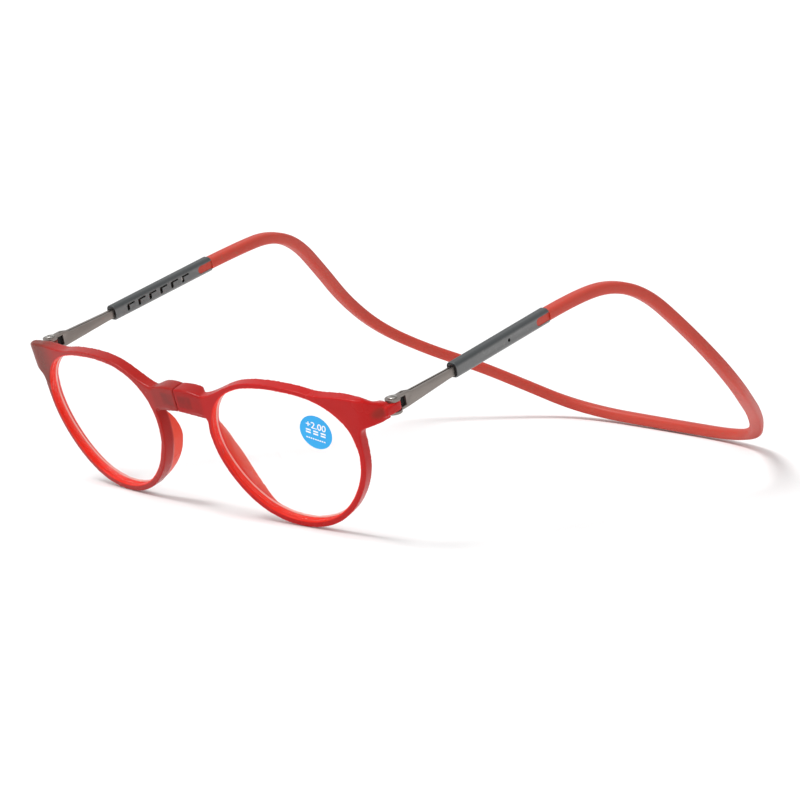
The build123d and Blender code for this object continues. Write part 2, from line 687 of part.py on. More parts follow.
def build():
    """Every piece by name, standing on the floor in its final place."""
    left = {
        "front_half": front_half(),
        "lens": lens(),
        "bridge_magnet": front_place * magnet_block(0, magnet_start()),
        "temple": temple(),
        "hinge_screw": hinge_screw(),
        "detent_pin": detent_pin(),
        "sleeve": sleeve(),
    }
    pieces = {}
    for name, piece in left.items():
        pieces["left_" + name] = piece
        pieces["right_" + name] = mirror(piece, about=Plane.YZ)
    pieces["left_lens_sticker"] = sticker()
    pieces["neck_band"] = neck_band()

    whole = Compound(children=[Compound(piece.solids()) for piece in pieces.values()]).bounding_box()
    to_floor = Pos(0, -(whole.min.Y + whole.max.Y) / 2, -whole.min.Z)
    return {name: to_floor * piece for name, piece in pieces.items()}, to_floor


pieces, to_floor = build()
os.makedirs("parts", exist_ok=True)
for name, piece in pieces.items():
    solids = piece.solids()
    shape = solids[0] if len(solids) == 1 else Compound(solids)
    export_step(shape, os.path.join("parts", name + ".step"))

print("hinge axis point", to_floor * Pos(*hinge_point))
print("slide travel", round(slide_travel, 2), "overall lift", to_floor.position)
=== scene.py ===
import json
from math import atan2, cos, hypot, pi, radians, sin, sqrt

import bmesh
import bpy
from mathutils import Matrix, Vector


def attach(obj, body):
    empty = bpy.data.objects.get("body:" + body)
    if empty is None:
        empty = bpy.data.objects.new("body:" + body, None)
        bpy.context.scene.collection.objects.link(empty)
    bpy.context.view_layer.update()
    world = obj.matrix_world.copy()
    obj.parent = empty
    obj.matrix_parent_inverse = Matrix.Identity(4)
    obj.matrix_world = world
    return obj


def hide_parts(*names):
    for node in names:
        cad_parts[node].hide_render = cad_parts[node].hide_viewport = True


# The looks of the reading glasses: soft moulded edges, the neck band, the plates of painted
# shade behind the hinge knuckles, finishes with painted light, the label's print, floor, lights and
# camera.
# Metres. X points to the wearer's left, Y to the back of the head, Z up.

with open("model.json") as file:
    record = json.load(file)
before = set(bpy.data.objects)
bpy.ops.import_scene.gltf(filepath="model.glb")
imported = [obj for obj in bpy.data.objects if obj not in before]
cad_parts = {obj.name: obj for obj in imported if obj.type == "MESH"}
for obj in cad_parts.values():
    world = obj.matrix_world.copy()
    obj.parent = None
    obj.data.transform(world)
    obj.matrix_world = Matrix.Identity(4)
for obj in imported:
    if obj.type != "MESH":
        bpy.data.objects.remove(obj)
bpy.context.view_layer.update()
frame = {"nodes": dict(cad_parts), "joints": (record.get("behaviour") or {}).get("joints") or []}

SIDES = ("left", "right")
MM = 0.001

# Camera, from the middle of the hinge line
CAMERA_FROM_HINGES = (0.7552, -0.7602, 0.1693)
CAMERA_TURN_DEG = 42.13
CAMERA_DOWN_DEG = 9.29
CAMERA_ROLL_DEG = 1.72
CAMERA_LENS_MM = 180.0
CAMERA_SENSOR_MM = 36.0
CAMERA_CLIP = (0.05, 50.0)

# Studio
FLOOR_SIZE = 6.0
ROOM_LIGHT = 0.72
BACKDROP_LIGHT = 1.05
SUN_FROM = (-0.29, -0.40, 0.865)
SUN_SPREAD_DEG = 20.0
SUN_STRENGTH = 1.9
LIGHT_TARGET = (0, 0, 0.03)
FRONT_LIGHT_FROM = (0.9, -0.9, 0.7)
FRONT_LIGHT_SIZE = (0.8, 0.5)
FRONT_LIGHT_POWER = 1.5

# Places of the front's drawing frame, from the hinge axis
FRONT_FROM_HINGE = Vector((-65.4, -15.5, -7.3)) * MM
FRONT_WRAP_DEG = 7.25
FRONT_TILT_DEG = 22.7

# Lens outline, as the solids have it
LENS_RADIUS = 21.84 * MM
LENS_CENTER_U = 35.32 * MM
LENS_CENTER_V = -9.7 * MM
LENS_WAVES = (
    (2, 0.085, -0.008),
    (3, 0.0, 0.044),
    (4, -0.005, 0.0),
    (5, 0.0, 0.006),
)

# The endpiece's top: how the solids cut it for the fork, and the smooth line it has here
FORK_TOP = 2.1 * MM
BROW_TOP = 5.0 * MM
SHOULDER_AHEAD = 5.6 * MM
SHOULDER_SLOPE = 0.85
ARM_INNER_SIDE = -3.8 * MM
EAR_REACH = 2.5 * MM
TOP_SLOPE = 0.578
TOP_SLOPE_FALL = 87.0  # per metre to the side
RESHAPE_FROM = 0.5 * MM

# Fades: where a share is 0 and where it is 1, in mm.
# Of the endpiece's new top, by the side from the hinge axis
TOP_INTO_BROW = (-5.0, -13.8)
CREST_KEPT = (-4.8, -8.8)
RESHAPE_FADE = (-14.8, -8.8)

# Of a front half's painted glow, shade and highlight, in its drawing frame
# Painted glow on the nose pads
PAD_ACROSS = (26.0, 20.0)
PAD_UP = (-3.0, -6.0)
PAD_BACK = (-3.1, -3.9)
# Painted shade over the magnets and the bridge
MAGNET_ACROSS = ((0.1, 1.4), (6.8, 5.1))
MAGNET_UP = ((-1.8, -0.2), (4.0, 2.4))
BRIDGE_ACROSS = (10.5, 8.5)
BRIDGE_UP = (-4.5, -3.0)
BRIDGE_SHARE = 0.5
# Painted glow on the inner walls and in the lens groove, and a painted highlight along the groove's
# lip
WALL_BESIDE = (0.5, 0.1)
GROOVE_BESIDE = ((0.15, 0.4), (1.0, 0.75))
GROOVE_BACK = ((-0.6, -0.85), (-2.7, -2.45))
LIP_PLACE = (0.1, -2.45)
LIP_FADE = (0.32, 0.14)
# Painted shade: the right half darker, its endpiece more so, and a darker spot on the left endpiece
ENDPIECE_ACROSS = (50.0, 59.0)
ENDPIECE_UP = (-9.0, -2.0)
SPOT_PLACE = (66.3, 4.6)
SPOT_FADE = (2.2, 0.6)
SPOT_SHARE = 0.55
RIGHT_SHADE = 0.30
RIGHT_ENDPIECE_SHADE = 0.60

# Of its extra smoothing
ENDPIECE_CORNERS_ACROSS = (54.0, 58.0)
ENDPIECE_CORNERS_AHEAD = (2.6, 3.8)
ENDPIECE_CORNERS_UP = (-4.0, -1.0)
BRIDGE_CORNERS_ACROSS = ((14.0, 11.0), (0.5, 1.1))
BRIDGE_CORNERS_UP = (-2.5, 0.0)

# Soft edges of the mouldings
WELD = 0.0005 * MM
SHARP_ANGLE_DEG = 40.0
FRONT_CELL = 0.21 * MM
FRONT_SMOOTHING = 7
CORNER_SMOOTHING = 40
SMOOTHING_SHARE = 0.5
EDGE_BEVEL = 0.13 * MM
EDGE_BEVEL_STEPS = 2
FLAT_ANGLE_DEG = 1.0

# Plate in the window behind each hinge knuckle, near black with painted shade
SHADE_PLATE_MIDDLE = 3.25 * MM
SHADE_PLATE_LENGTH = 1.7 * MM
SHADE_PLATE_HEIGHT = 2.9 * MM
SHADE_PLATE_THICKNESS = 0.4 * MM

# Sleeves
SLEEVE_HALF_WIDTH = 1.85 * MM
SLEEVE_HALF_HEIGHT = 2.15 * MM

# Neck band
BAND_WIDTH = 3.4 * MM
BAND_HEIGHT = 4.2 * MM
BAND_ROUND = 1.3 * MM
BAND_ROUND_STEPS = 5
BAND_RUN_STEPS = 14
SLEEVE_END = 63.3 * MM
TONGUE_LENGTH = 5.6 * MM
TONGUE_HEIGHT = 2.2 * MM
TONGUE_STEPS = 8
BAND_FROM_HINGE = Vector((-65.4, 0.0, -37.7)) * MM
BAND_ROUTE = [
    (0.0643, 0.0745, 0.0602),
    (0.0655, 0.0875, 0.0623),
    (0.0672, 0.1005, 0.0592),
    (0.0695, 0.1140, 0.0495),
    (0.0715, 0.1275, 0.0388),
    (0.0695, 0.1410, 0.0295),
    (0.0625, 0.1555, 0.0225),
    (0.0540, 0.1700, 0.0170),
    (0.0455, 0.1835, 0.0106),
    (0.0370, 0.1935, 0.0053),
    (0.0245, 0.1985, 0.0029),
    (0.0090, 0.1993, 0.00265),
]

# Label print
LABEL_CENTER_U = 46.32 * MM
LABEL_CENTER_V = -2.1 * MM
LABEL_DOME_RADIUS = 350.0 * MM
PRINT_NUMBER = "+2.00"
PRINT_SIZE = 2.75 * MM
PRINT_THICKNESS = 0.03 * MM
PRINT_WEIGHT = 0.03 * MM
PRINT_LIFT = 0.01 * MM
PRINT_TURN_DEG = -12.0
PRINT_NUMBER_UP = 1.85 * MM
# Rows under the strength: name, marks, step, width and height of a mark, place upwards
PRINT_ROWS = (
    ("marks_upper", 3, 2.3 * MM, 1.5 * MM, 0.45 * MM, 0.25 * MM),
    ("marks_lower", 3, 2.3 * MM, 1.5 * MM, 0.45 * MM, -0.55 * MM),
    ("fine_line", 9, 0.68 * MM, 0.46 * MM, 0.36 * MM, -2.2 * MM),
)

# Where the hinges are, from the frame
hinges = {
    joint["name"].split("_")[0]: joint
    for joint in frame["joints"]
    if joint["type"] == "hinge"
}
hinge_left = Vector(hinges["left"]["pos_m"])
hinge_right = Vector(hinges["right"]["pos_m"])
hinge_middle = (hinge_left + hinge_right) / 2
hinge_axis = Vector(hinges["left"]["axis"])
temple_forward = Vector(
    next(joint["axis"] for joint in frame["joints"] if joint["name"] == "left_temple_slide")
)
temple_back = -temple_forward
temple_side = hinge_axis.cross(temple_forward).normalized()

# The front's own directions: outwards, up the rim and forwards
front_origin = hinge_left + FRONT_FROM_HINGE
wrap = radians(FRONT_WRAP_DEG)
tilt = radians(FRONT_TILT_DEG)
front_out = Vector((cos(wrap), sin(wrap), 0))
front_ahead = Vector((sin(wrap) * cos(tilt), -cos(wrap) * cos(tilt), -sin(tilt)))
front_up = front_ahead.cross(front_out)


class Nodes:
    """A node tree under construction."""

    def __init__(self, tree):
        self.tree = tree

    def add(self, kind, settings=None, sockets=None):
        """A node: its settings come first, then the values or links of its sockets."""
        node = self.tree.nodes.new(kind)
        for name, value in (settings or {}).items():
            setattr(node, name, value)
        for name, value in (sockets or {}).items():
            self.feed(node.inputs[name], value)
        return node

    def feed(self, socket, value):
        if isinstance(value, Field):
            self.tree.links.new(value.socket, socket)
        elif isinstance(value, bpy.types.NodeSocket):
            self.tree.links.new(value, socket)
        else:
            socket.default_value = value


class Field:
    """A number that varies over a surface: arithmetic on it adds Math nodes."""

    def __init__(self, paint, socket):
        self.paint = paint
        self.socket = socket

    def math(self, operation, *values):
        settings = {"operation": operation}
        node = self.paint.add("ShaderNodeMath", settings, dict(enumerate(values)))
        return Field(self.paint, node.outputs[0])

    def __add__(self, other):
        return self.math("ADD", self, other)

    def __radd__(self, other):
        return self.math("ADD", other, self)

    def __sub__(self, other):
        return self.math("SUBTRACT", self, other)

    def __rsub__(self, other):
        return self.math("SUBTRACT", other, self)

    def __mul__(self, other):
        return self.math("MULTIPLY", self, other)

    def __rmul__(self, other):
        return self.math("MULTIPLY", other, self)

    def __truediv__(self, other):
        return self.math("DIVIDE", self, other)

    def __rtruediv__(self, other):
        return self.math("DIVIDE", other, self)

    def __pow__(self, power):
        return self.math("POWER", self, power)

    def size(self):
        return self.math("ABSOLUTE", self)

    def between(self, low, high):
        """0 below low, 1 above high and even in between."""
        settings = {"interpolation_type": "SMOOTHSTEP"}
        node = self.paint.add("ShaderNodeMapRange", settings, {0: self, 1: low, 2: high})
        return Field(self.paint, node.outputs[0])


class Paint(Nodes):
    """A material under construction: its nodes and the surface shader at their end."""

    def __init__(self, name):
        self.material = bpy.data.materials.new(name)
        self.material.use_nodes = True
        super().__init__(self.material.node_tree)
        self.surface = self.tree.nodes["Principled BSDF"]
        place = self.add("ShaderNodeTexCoord")
        self.place = place.outputs["Object"]
        parts = self.add("ShaderNodeSeparateXYZ", None, {0: self.place})
        self.x, self.y, self.z = [Field(self, socket) for socket in parts.outputs]

    def along(self, direction, origin=(0, 0, 0)):
        """How far a point lies along a direction, with the right side folded onto the left."""
        folded = self.x.size()
        return (
            (folded - origin[0]) * direction[0]
            + (self.y - origin[1]) * direction[1]
            + (self.z - origin[2]) * direction[2]
        )

    def vector(self, x, y, z):
        return self.add("ShaderNodeCombineXYZ", None, {0: x, 1: y, 2: z}).outputs[0]

    def noise(self, vector, scale, detail=2.0, roughness=0.5):
        sockets = {"Vector": vector, "Scale": scale, "Detail": detail, "Roughness": roughness}
        node = self.add("ShaderNodeTexNoise", None, sockets)
        return Field(self, node.outputs[0])

    def marked(self, name):
        """A number that the mesh carries at each of its points."""
        node = self.add("ShaderNodeAttribute", {"attribute_name": name})
        return Field(self, node.outputs["Fac"])

    def facing(self, blend):
        """0 seen square on and 1 at a glancing angle, for gloss."""
        node = self.add("ShaderNodeLayerWeight", None, {"Blend": blend})
        return Field(self, node.outputs["Facing"])

    def mix(self, factor, first, second):
        """A colour between two colours."""
        node = self.add("ShaderNodeMix", {"data_type": "RGBA"}, {0: factor, 6: first, 7: second})
        return node.outputs[2]

    def bump(self, height, depth, strength=1.0):
        sockets = {"Height": height, "Distance": depth, "Strength": strength}
        return self.add("ShaderNodeBump", None, sockets).outputs[0]

    def finish(self, **values):
        """Sets the surface shader's sockets, named with _ for a space."""
        for name, value in values.items():
            self.feed(self.surface.inputs[name.replace("_", " ")], value)
        return self.material


class Shape(Nodes):
    """A geometry tree with named sizes as its inputs, which ends in one material."""

    def __init__(self, name, sizes):
        super().__init__(bpy.data.node_groups.new(name, "GeometryNodeTree"))
        self.sizes = sizes
        for way in ("INPUT", "OUTPUT"):
            self.tree.interface.new_socket("Geometry", in_out=way, socket_type="NodeSocketGeometry")
        for label, value in sizes.items():
            kind = "NodeSocketInt" if isinstance(value, int) else "NodeSocketFloat"
            self.tree.interface.new_socket(label, in_out="INPUT", socket_type=kind)
        self.given = self.add("NodeGroupInput").outputs

    def finish(self, geometry, material):
        real = self.add("GeometryNodeRealizeInstances", None, {0: geometry})
        sockets = {"Geometry": real.outputs[0], "Material": material}
        dressed = self.add("GeometryNodeSetMaterial", None, sockets)
        self.add("NodeGroupOutput", None, {0: dressed.outputs[0]})

    def grow(self, item):
        """The plain mesh that the tree makes of an object."""
        modifier = item.modifiers.new(self.tree.name, "NODES")
        modifier.node_group = self.tree
        for socket in self.tree.interface.items_tree:
            if socket.in_out == "INPUT" and socket.name in self.sizes:
                modifier[socket.identifier] = self.sizes[socket.name]
        mesh = plain_mesh(item)
        item.modifiers.remove(modifier)
        return mesh


def frame_plastic():
    """Satin translucent red moulding, with painted light: painted glow on the inner walls, in the
    lens groove and on the pads, a painted highlight along the groove's lip, and painted shade over
    the magnets and bridge, over the right half and on a spot of the left endpiece.
    """
    paint = Paint("frame_plastic")
    cloud = paint.noise(paint.place, 60.0, 3.0)
    grain = paint.noise(paint.place, 2600.0, 2.0)
    wall = paint.marked("wall")
    pad = paint.marked("pad")
    block = paint.marked("block")
    core = paint.marked("core")
    groove = paint.marked("groove")
    lip = paint.marked("lip")
    patch = paint.noise(paint.place, 420.0, 1.0).between(0.42, 0.58)
    face = paint.mix(cloud, (0.42, 0.004, 0.004, 1), (0.50, 0.006, 0.005, 1))
    # Painted shade: the right half darker all over and more on its endpiece, and a darker spot on
    # the left endpiece.
    shaded = paint.mix(core * (0.75 + 0.25 * cloud), face, (0.105, 0.024, 0.012, 1))
    # Painted glow: the inner walls of the lens opening lighter, as if lit through the plastic.
    wall_glow = paint.mix(wall, shaded, (0.74, 0.018, 0.006, 1))
    # Painted glow: the thin nose pads lighter, as if lit through the plastic.
    coral = paint.mix(pad, wall_glow, (0.76, 0.065, 0.032, 1))
    # Painted shade over the magnets and the bridge, where less light comes through the plastic.
    dark = paint.mix(block * (0.44 + 0.20 * cloud + 0.12 * patch), coral, (0.14, 0.010, 0.007, 1))
    # Painted glow in the lens groove, lighter than its shade would leave it.
    glow = paint.mix(groove, dark, (0.90, 0.034, 0.014, 1))
    # Painted highlight: a thin pale line along the lens groove's rear lip.
    return paint.finish(
        Base_Color=paint.mix(lip, glow, (0.95, 0.60, 0.53, 1)),
        Roughness=0.24 + 0.06 * cloud - 0.10 * block,
        Normal=paint.bump(grain, 0.010 * MM, 0.05),
        Subsurface_Weight=0.35,
        Subsurface_Radius=(1.0, 0.05, 0.03),
        Subsurface_Scale=2.0 * MM,
        Specular_IOR_Level=0.20,
    )


def lens_clear():
    """Polished clear lens, a little brighter at grazing angles."""
    paint = Paint("lens_clear")
    smear = paint.noise(paint.place, 45.0, 3.0)
    glance = paint.facing(0.35)
    return paint.finish(
        Base_Color=(0.97, 0.985, 0.99, 1),
        Roughness=0.015 + 0.03 * smear,
        Transmission_Weight=1.0,
        IOR=1.5,
        Alpha=0.05 + 0.02 * smear + 0.18 * glance ** 3.0,
    )


def temple_metal():
    """Warm grey plated finish, brushed along the temple."""
    paint = Paint("temple_metal")
    along = paint.along(temple_back, hinge_left)
    across = paint.along(temple_side, hinge_left)
    up = paint.along(hinge_axis, hinge_left)
    streak = paint.noise(paint.vector(along * 0.04, across, up), 9000.0, 3.0)
    cloud = paint.noise(paint.place, 220.0, 2.0)
    tone = streak * 0.6 + cloud * 0.4
    return paint.finish(
        Base_Color=paint.mix(tone, (0.19, 0.165, 0.150, 1), (0.31, 0.275, 0.250, 1)),
        Roughness=0.30 + 0.16 * streak,
        Metallic=0.85,
        Normal=paint.bump(streak, 0.006 * MM, 0.5),
    )


def liner_metal():
    """Near-black steel: painted shade, for the shade inside the temple's channel."""
    paint = Paint("liner_metal")
    cloud = paint.noise(paint.place, 900.0, 2.0)
    return paint.finish(
        Base_Color=paint.mix(cloud, (0.010, 0.009, 0.009, 1), (0.020, 0.018, 0.017, 1)),
        Roughness=0.55 + 0.10 * cloud,
        Specular_IOR_Level=0.2,
    )


def screw_metal():
    """Bright turned steel."""
    paint = Paint("screw_metal")
    cloud = paint.noise(paint.place, 900.0, 3.0)
    return paint.finish(
        Base_Color=paint.mix(cloud, (0.36, 0.34, 0.32, 1), (0.60, 0.58, 0.55, 1)),
        Roughness=0.20 + 0.15 * cloud,
        Metallic=1.0,
    )


def magnet_metal():
    """Dull nickel plate."""
    paint = Paint("magnet_metal")
    cloud = paint.noise(paint.place, 500.0, 3.0)
    return paint.finish(
        Base_Color=paint.mix(cloud, (0.30, 0.29, 0.29, 1), (0.45, 0.44, 0.43, 1)),
        Roughness=0.35 + 0.15 * cloud,
        Metallic=1.0,
    )


def sleeve_plastic():
    """Charcoal moulding with a fine satin grain, darker on top and lightly scuffed at its side,
    with painted shade inside its slot.
    """
    paint = Paint("sleeve_plastic")
    grain = paint.noise(paint.place, 3200.0, 2.0)
    cloud = paint.noise(paint.place, 160.0, 3.0)
    scuff = paint.noise(paint.place, 700.0, 4.0, 0.7).between(0.55, 0.75)
    up = paint.along(hinge_axis, hinge_left)
    top = up.between(0.9 * MM, 1.7 * MM)
    side = paint.mix(cloud, (0.110, 0.112, 0.112, 1), (0.165, 0.165, 0.164, 1))
    worn = paint.mix(scuff * 0.5, side, (0.26, 0.25, 0.245, 1))
    outer = paint.mix(top, worn, (0.042, 0.047, 0.049, 1))
    across = paint.along(temple_side, hinge_left)
    spread = (across.size() / SLEEVE_HALF_WIDTH) ** 3.0 + (up.size() / SLEEVE_HALF_HEIGHT) ** 3.0
    # Painted shade: near black where the surface lies well inside the sleeve's outline, in its
    # slot.
    slot_shade = 1 - spread.between(0.70, 0.88)
    return paint.finish(
        Base_Color=paint.mix(slot_shade, outer, (0.008, 0.008, 0.008, 1)),
        Roughness=0.34 + 0.14 * grain,
        Normal=paint.bump(grain, 0.02 * MM, 0.4),
        Specular_IOR_Level=0.5,
    )


def band_rubber():
    """Satin coral red rubber with faint scuffs along its middle, faintly translucent."""
    paint = Paint("band_rubber")
    grain = paint.noise(paint.place, 2200.0, 2.0)
    cloud = paint.noise(paint.place, 90.0, 3.0)
    scuff = paint.noise(paint.place, 520.0, 4.0, 0.7).between(0.56, 0.74)
    fresh = paint.mix(cloud, (0.44, 0.036, 0.019, 1), (0.54, 0.050, 0.027, 1))
    return paint.finish(
        Base_Color=paint.mix(scuff * 0.55, fresh, (0.36, 0.105, 0.060, 1)),
        Roughness=0.42 + 0.12 * grain + 0.10 * scuff,
        Normal=paint.bump(grain, 0.03 * MM, 0.4),
        Subsurface_Weight=0.35,
        Subsurface_Radius=(1.0, 0.15, 0.10),
        Subsurface_Scale=1.2 * MM,
        Specular_IOR_Level=0.4,
    )


def label_film():
    """Blue printed film."""
    paint = Paint("label_film")
    cloud = paint.noise(paint.place, 400.0, 2.0)
    return paint.finish(
        Base_Color=paint.mix(cloud, (0.006, 0.36, 0.80, 1), (0.012, 0.42, 0.88, 1)),
        Roughness=0.42 + 0.08 * cloud,
    )


def label_ink():
    """White print on the label."""
    paint = Paint("label_ink")
    cloud = paint.noise(paint.place, 1500.0, 2.0)
    return paint.finish(
        Base_Color=paint.mix(cloud, (0.90, 0.92, 0.94, 1), (0.97, 0.98, 0.99, 1)),
        Roughness=0.55 + 0.05 * cloud,
    )


def floor_paper():
    """Plain white studio paper."""
    paint = Paint("floor_paper")
    fibre = paint.noise(paint.place, 40.0, 3.0)
    return paint.finish(
        Base_Color=paint.mix(fibre, (0.90, 0.90, 0.90, 1), (0.92, 0.92, 0.92, 1)),
        Roughness=0.75 + 0.05 * fibre,
        Specular_IOR_Level=0.1,
    )


def plain_mesh(item):
    """The object's mesh with its modifiers applied."""
    graph = bpy.context.evaluated_depsgraph_get()
    return bpy.data.meshes.new_from_object(item.evaluated_get(graph), depsgraph=graph)


def new_item(name, data):
    item = bpy.data.objects.new(name, data)
    bpy.context.scene.collection.objects.link(item)
    return item


def new_mesh(name, work):
    """A bmesh that is done with, as a mesh."""
    mesh = bpy.data.meshes.new(name)
    work.to_mesh(mesh)
    work.free()
    return mesh


def apply_modifiers(item):
    """Gives the object the plain mesh that its modifiers make of it."""
    mesh = plain_mesh(item)
    item.modifiers.clear()
    item.data = mesh
    return mesh


def shade(mesh):
    """Smooth shading, except across sharp edges."""
    mesh.shade_smooth()
    mesh.set_sharp_from_angle(angle=radians(SHARP_ANGLE_DEG))


def coat(mesh, material):
    """Makes the material the mesh's only one."""
    mesh.materials.clear()
    mesh.materials.append(material)


def welded_copy(node):
    """A copy of a CAD node's mesh with its loose triangles joined."""
    source = frame["nodes"][node]
    work = bmesh.new()
    work.from_mesh(source.data)
    work.transform(source.matrix_world)
    bmesh.ops.remove_doubles(work, verts=work.verts, dist=WELD)
    return new_mesh(node, work)


def stand_for(item, body, node):
    """The piece takes the place of a CAD node, on the node's own body."""
    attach(item, body)
    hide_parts(node)


def on_left(point):
    """The point, or its mirror image if it is on the right side."""
    return Vector((abs(point.x), point.y, point.z))


def on_side(side, point):
    """A point of the left side, or its mirror image for the right side."""
    return point if side == "left" else Vector((-point.x, point.y, point.z))


def front_coordinates(point):
    """A point in the front's directions: outwards, up the rim and forwards."""
    offset = on_left(point) - front_origin
    return [offset.dot(way) for way in (front_out, front_up, front_ahead)]


def hinge_coordinates(point):
    """A point in the temple's directions from the hinge: forwards, sideways and upwards."""
    offset = on_left(point) - hinge_left
    return [offset.dot(way) for way in (temple_forward, temple_side, hinge_axis)]


def from_lens_center(u, v):
    """How far a place on the front is from the middle of its lens."""
    return hypot(u - LENS_CENTER_U, v - LENS_CENTER_V)


def opening_radius(angle):
    wave = sum(even * cos(n * angle) + odd * sin(n * angle) for n, even, odd in LENS_WAVES)
    return LENS_RADIUS * (1 + wave)


def ease(value, low, high):
    """0 at low, 1 at high and smooth in between; low may be above high."""
    share = min(1.0, max(0.0, (value - low) / (high - low)))
    return share * share * (3 - 2 * share)


def within(length, *fades):
    """The share that a length has of each fade, multiplied."""
    share = 1.0
    for nothing, full in fades:
        share *= ease(length, nothing * MM, full * MM)
    return share


def front_marks(point):
    """How much of each painted glow, shade and highlight a point of the front half has."""
    u, v, n = front_coordinates(point)
    angle = atan2(v - LENS_CENTER_V, u - LENS_CENTER_U)
    beside = from_lens_center(u, v) - opening_radius(angle)
    magnet = within(u, *MAGNET_ACROSS) * within(v, *MAGNET_UP)
    bridge = within(u, BRIDGE_ACROSS) * within(v, BRIDGE_UP)
    lip_beside, lip_back = LIP_PLACE
    # Painted shade: a darker spot on the left endpiece; the right half darker all over, its
    # endpiece more so.
    if point.x > 0:
        spot_u, spot_v = SPOT_PLACE
        core = SPOT_SHARE * within(hypot(u - spot_u * MM, v - spot_v * MM), SPOT_FADE)
    else:
        endpiece = within(u, ENDPIECE_ACROSS) * within(v, ENDPIECE_UP)
        core = RIGHT_SHADE + RIGHT_ENDPIECE_SHADE * endpiece
    return {
        "wall": within(beside, WALL_BESIDE),
        "pad": within(u, PAD_ACROSS) * within(v, PAD_UP) * within(n, PAD_BACK),
        "block": max(magnet, BRIDGE_SHARE * bridge),
        "core": core,
        "groove": within(beside, *GROOVE_BESIDE) * within(n, *GROOVE_BACK),
        "lip": within(hypot(beside - lip_beside * MM, n - lip_back * MM), LIP_FADE),
    }


def reshaped(point):
    """Where a point of the endpiece lies once its top runs smoothly from the brow to the hinge."""
    ahead, across, height = hinge_coordinates(point)
    if height <= RESHAPE_FROM or ahead <= EAR_REACH:
        return point
    past_arm = across - ARM_INNER_SIDE
    if past_arm > 0:
        shoulder = FORK_TOP + SHOULDER_SLOPE * max(0.0, ahead - SHOULDER_AHEAD)
        solid_top = min(BROW_TOP, shoulder)
        slope = TOP_SLOPE - TOP_SLOPE_FALL * past_arm
        line = max(solid_top, min(BROW_TOP, FORK_TOP + slope * (ahead - EAR_REACH)))
    else:
        solid_top = BROW_TOP
        line = min(BROW_TOP, FORK_TOP + TOP_SLOPE * (ahead - EAR_REACH))
        line += (BROW_TOP - line) * within(across, TOP_INTO_BROW)
    if height > solid_top:
        new_height = line + (height - solid_top) * within(across, CREST_KEPT)
    else:
        share = (line - RESHAPE_FROM) / (solid_top - RESHAPE_FROM)
        new_height = RESHAPE_FROM + (height - RESHAPE_FROM) * share
    rise = (new_height - height) * within(across, RESHAPE_FADE) * hinge_axis
    return point + on_side("left" if point.x > 0 else "right", rise)


def corner_softness(point):
    """How much more than the rest a point of the front half is smoothed."""
    u, v, _ = front_coordinates(point)
    ahead, _, _ = hinge_coordinates(point)
    endpiece = within(u, ENDPIECE_CORNERS_ACROSS) * within(ahead, ENDPIECE_CORNERS_AHEAD)
    endpiece *= within(v, ENDPIECE_CORNERS_UP)
    bridge = within(u, *BRIDGE_CORNERS_ACROSS) * within(v, BRIDGE_CORNERS_UP)
    return max(endpiece, bridge)


def soft_front(side, material):
    """A front half with its moulded edges rounded, and its painted glow, shade and highlight marked
    on its points.
    """
    node = side + "_front_half"
    item = new_item(side + "_front_moulding", welded_copy(node))
    cells = item.modifiers.new("cells", "REMESH")
    cells.mode = "VOXEL"
    cells.voxel_size = FRONT_CELL
    mesh = apply_modifiers(item)
    for vertex in mesh.vertices:
        vertex.co = reshaped(vertex.co)
    corners = item.vertex_groups.new(name="corners")
    for vertex in mesh.vertices:
        softness = corner_softness(vertex.co)
        if softness > 0:
            corners.add([vertex.index], softness, "REPLACE")
    for iterations, group in ((CORNER_SMOOTHING, corners.name), (FRONT_SMOOTHING, "")):
        smooth = item.modifiers.new("smooth", "SMOOTH")
        smooth.factor = SMOOTHING_SHARE
        smooth.iterations = iterations
        smooth.vertex_group = group
    mesh = apply_modifiers(item)
    item.vertex_groups.clear()
    marks = [front_marks(vertex.co) for vertex in mesh.vertices]
    for name in marks[0]:
        layer = mesh.attributes.new(name, "FLOAT", "POINT")
        layer.data.foreach_set("value", [mark[name] for mark in marks])
    mesh.shade_smooth()
    coat(mesh, material)
    stand_for(item, side + "_front", node)


def band_start():
    """The left sleeve's rear end."""
    return hinge_left + temple_back * SLEEVE_END


def band_curve():
    """The band's smooth line, from the left sleeve round the neck to the right one."""
    origin = hinge_left + BAND_FROM_HINGE
    left = [band_start()] + [origin + Vector(point) for point in BAND_ROUTE]
    right = [on_side("right", point) for point in reversed(left)]
    curve = bpy.data.curves.new("band_line", "CURVE")
    curve.dimensions = "3D"
    curve.resolution_u = BAND_RUN_STEPS
    spline = curve.splines.new("NURBS")
    points = left + right
    spline.points.add(len(points) - 1)
    for point, place in zip(spline.points, points):
        point.co = (*place, 1)
    spline.order_u = 3
    spline.use_endpoint_u = True
    return curve


def rounded_section(shape, width, height, radius, steps):
    """A rectangle with rounded corners, as a closed line."""
    sockets = {"Width": width, "Height": height}
    box = shape.add("GeometryNodeCurvePrimitiveQuadrilateral", None, sockets)
    sockets = {"Curve": box.outputs[0], "Radius": radius, "Count": steps, "Limit Radius": True}
    corners = shape.add("GeometryNodeFilletCurve", {"mode": "POLY"}, sockets)
    return corners.outputs[0]


